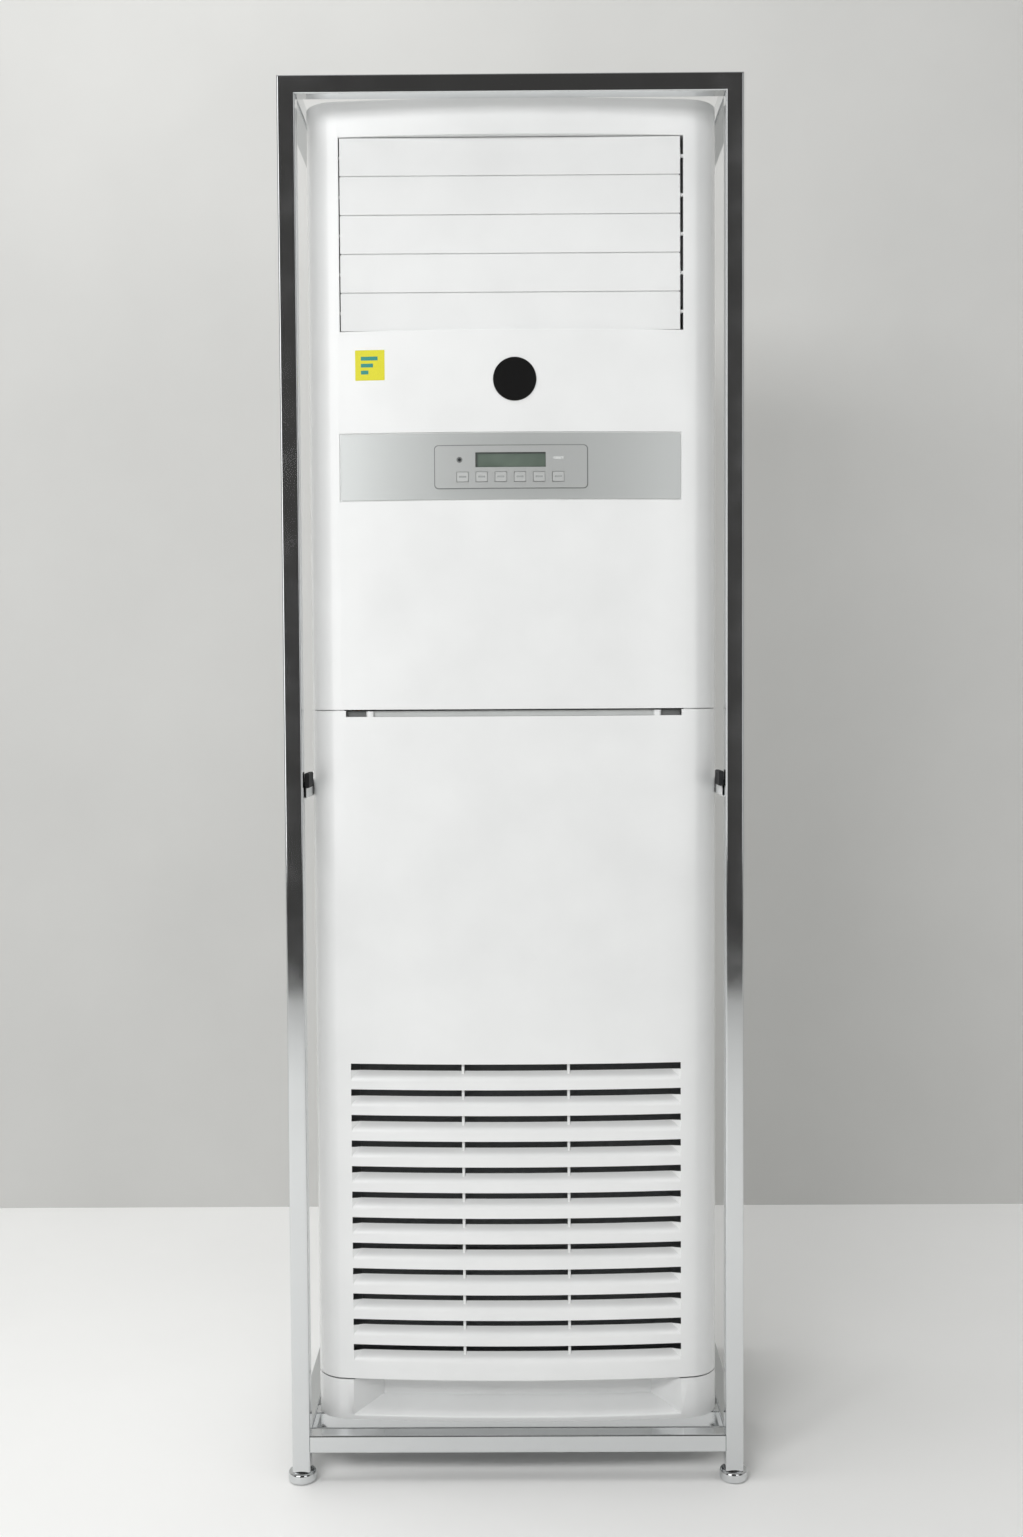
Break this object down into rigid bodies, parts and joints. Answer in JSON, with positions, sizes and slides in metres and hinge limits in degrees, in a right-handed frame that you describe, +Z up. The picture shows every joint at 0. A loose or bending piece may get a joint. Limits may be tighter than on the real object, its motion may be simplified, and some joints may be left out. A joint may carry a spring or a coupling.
{
  "type": "floor standing air conditioner",
  "caption": "Tall white floor standing air conditioner with a louvred outlet, a control band and an intake grille, held in a polished square-tube frame on round feet.",
  "frame": {"origin": "on the floor, under the middle of the frame's width and depth", "axes": "+Z up; +Y from the front towards the back, so the front faces -Y; +X towards the object's right side as seen from the front"},
  "size_m": [0.6444, 0.495, 1.935],
  "materials": {
    "polished_steel": "mirror-polished stainless steel",
    "black_cover": "matt",
    "zinc_steel": "zinc-coated, dull",
    "white_plastic": "glossy moulded white",
    "white_paint": "smooth white powder coat",
    "silver_plastic": "satin silver paint",
    "grey_plastic": "matt",
    "lcd_window": "clear cover over a grey display",
    "dark_lens": "smoked",
    "dark_plastic": "fine mesh in a moulded frame",
    "foam_plastic": "matt",
    "motor_paint": "satin black",
    "aluminium": "bare fins",
    "copper": "bare copper tube"
  },
  "bodies": {
    "casing": {"upright_front_left": "polished_steel", "upright_front_right": "polished_steel", "upright_rear_left": "polished_steel", "upright_rear_right": "polished_steel", "foot_front_left": "polished_steel", "foot_front_right": "polished_steel", "foot_rear_left": "polished_steel", "foot_rear_right": "polished_steel", "top_rail_front": "polished_steel", "top_rail_rear": "polished_steel", "top_rail_left": "polished_steel", "top_rail_right": "polished_steel", "bottom_rail_front": "polished_steel", "bottom_rail_rear": "polished_steel", "bottom_rail_left": "polished_steel", "bottom_rail_right": "polished_steel", "cross_bar_front": "polished_steel", "cross_bar_rear": "polished_steel", "mid_rail_left": "black_cover", "mid_rail_right": "black_cover", "base_pan": "zinc_steel", "fan_scroll": "zinc_steel", "plinth_cover": "white_plastic", "upper_front_panel": "white_plastic", "outlet_frame": "white_plastic", "side_panel_left": "white_paint", "side_panel_right": "white_paint", "rear_panel": "white_paint", "top_cover": "white_paint", "control_fascia": "silver_plastic", "control_plate": "silver_plastic", "electrical_box": "grey_plastic", "lcd_window": "lcd_window", "receiver_lens": "dark_lens", "drain_pan": "foam_plastic", "louvre_motor": "motor_paint", "fan_motor": "motor_paint", "evaporator_coil": "aluminium", "pipe_gas": "copper", "pipe_liquid": "copper"},
    "lower_panel": {"lower_front_panel": "white_plastic"},
    "filter": {"air_filter": "dark_plastic"},
    "fan_wheel": {"fan_wheel": "zinc_steel"},
    "louvre_link": {"louvre_link": "grey_plastic"},
    "vane_link": {"vane_link": "grey_plastic"},
    "louvre_1": {"louvre_1": "white_plastic"},
    "louvre_2": {"louvre_2": "white_plastic"},
    "louvre_3": {"louvre_3": "white_plastic"},
    "louvre_4": {"louvre_4": "white_plastic"},
    "louvre_5": {"louvre_5": "white_plastic"},
    "vane_1": {"vane_1": "foam_plastic"},
    "vane_2": {"vane_2": "foam_plastic"},
    "vane_3": {"vane_3": "foam_plastic"},
    "vane_4": {"vane_4": "foam_plastic"},
    "button_1": {"button_1": "grey_plastic"},
    "button_2": {"button_2": "grey_plastic"},
    "button_3": {"button_3": "grey_plastic"},
    "button_4": {"button_4": "grey_plastic"},
    "button_5": {"button_5": "grey_plastic"},
    "button_6": {"button_6": "grey_plastic"}
  },
  "joints": [
    {"name": "lower_panel_tilt", "type": "hinge", "parent": "casing", "child": "lower_panel", "pos_m": [0, -0.18, 0.135], "axis": [1, 0, 0], "range_deg": [0, 15]},
    {"name": "filter_slide", "type": "slide", "parent": "lower_panel", "child": "filter", "axis": [0, 0, 1], "range_m": [0, 0.42]},
    {"name": "louvre_1_swing", "type": "hinge", "parent": "casing", "child": "louvre_1", "pos_m": [0, -0.18, 1.84218], "axis": [-1, 0, 0], "range_deg": [0, 85]},
    {"name": "louvre_2_swing", "type": "hinge", "parent": "casing", "child": "louvre_2", "pos_m": [0, -0.18, 1.78914], "axis": [-1, 0, 0], "range_deg": [0, 85]},
    {"name": "louvre_3_swing", "type": "hinge", "parent": "casing", "child": "louvre_3", "pos_m": [0, -0.18, 1.7361], "axis": [-1, 0, 0], "range_deg": [0, 85]},
    {"name": "louvre_4_swing", "type": "hinge", "parent": "casing", "child": "louvre_4", "pos_m": [0, -0.18, 1.68306], "axis": [-1, 0, 0], "range_deg": [0, 85]},
    {"name": "louvre_5_swing", "type": "hinge", "parent": "casing", "child": "louvre_5", "pos_m": [0, -0.18, 1.63002], "axis": [-1, 0, 0], "range_deg": [0, 85]},
    {"name": "louvre_link_swing", "type": "hinge", "parent": "louvre_1", "child": "louvre_link", "pos_m": [0.2355, -0.16673, 1.85434], "axis": [1, 0, 0], "range_deg": [0, 85]},
    {"name": "vane_1_swing", "type": "hinge", "parent": "casing", "child": "vane_1", "pos_m": [-0.1785, -0.11018, 1.736], "axis": [0, 0, 1], "range_deg": [-35, 35]},
    {"name": "vane_2_swing", "type": "hinge", "parent": "casing", "child": "vane_2", "pos_m": [-0.0595, -0.11018, 1.736], "axis": [0, 0, 1], "range_deg": [-35, 35]},
    {"name": "vane_3_swing", "type": "hinge", "parent": "casing", "child": "vane_3", "pos_m": [0.0595, -0.11018, 1.736], "axis": [0, 0, 1], "range_deg": [-35, 35]},
    {"name": "vane_4_swing", "type": "hinge", "parent": "casing", "child": "vane_4", "pos_m": [0.1785, -0.11018, 1.736], "axis": [0, 0, 1], "range_deg": [-35, 35]},
    {"name": "vane_link_swing", "type": "hinge", "parent": "vane_1", "child": "vane_link", "pos_m": [-0.1785, -0.08518, 1.615], "axis": [0, 0, -1], "range_deg": [-35, 35]},
    {"name": "fan_spin", "type": "hinge", "parent": "casing", "child": "fan_wheel", "pos_m": [0, 0, 0.36843], "axis": [0, 1, 0], "continuous": true},
    {"name": "button_1_press", "type": "slide", "parent": "casing", "child": "button_1", "axis": [0, 1, 0], "range_m": [0, 0.001], "stiffness_N_per_m": 600},
    {"name": "button_2_press", "type": "slide", "parent": "casing", "child": "button_2", "axis": [0, 1, 0], "range_m": [0, 0.001], "stiffness_N_per_m": 600},
    {"name": "button_3_press", "type": "slide", "parent": "casing", "child": "button_3", "axis": [0, 1, 0], "range_m": [0, 0.001], "stiffness_N_per_m": 600},
    {"name": "button_4_press", "type": "slide", "parent": "casing", "child": "button_4", "axis": [0, 1, 0], "range_m": [0, 0.001], "stiffness_N_per_m": 600},
    {"name": "button_5_press", "type": "slide", "parent": "casing", "child": "button_5", "axis": [0, 1, 0], "range_m": [0, 0.001], "stiffness_N_per_m": 600},
    {"name": "button_6_press", "type": "slide", "parent": "casing", "child": "button_6", "axis": [0, 1, 0], "range_m": [0, 0.001], "stiffness_N_per_m": 600}
  ],
  "couplings": [
    {"joint": "louvre_2_swing", "follows": "louvre_1_swing", "ratio": 1},
    {"joint": "louvre_3_swing", "follows": "louvre_1_swing", "ratio": 1},
    {"joint": "louvre_4_swing", "follows": "louvre_1_swing", "ratio": 1},
    {"joint": "louvre_5_swing", "follows": "louvre_1_swing", "ratio": 1},
    {"joint": "louvre_link_swing", "follows": "louvre_1_swing", "ratio": 1},
    {"joint": "vane_2_swing", "follows": "vane_1_swing", "ratio": 1},
    {"joint": "vane_3_swing", "follows": "vane_1_swing", "ratio": 1},
    {"joint": "vane_4_swing", "follows": "vane_1_swing", "ratio": 1},
    {"joint": "vane_link_swing", "follows": "vane_1_swing", "ratio": 1}
  ]
}
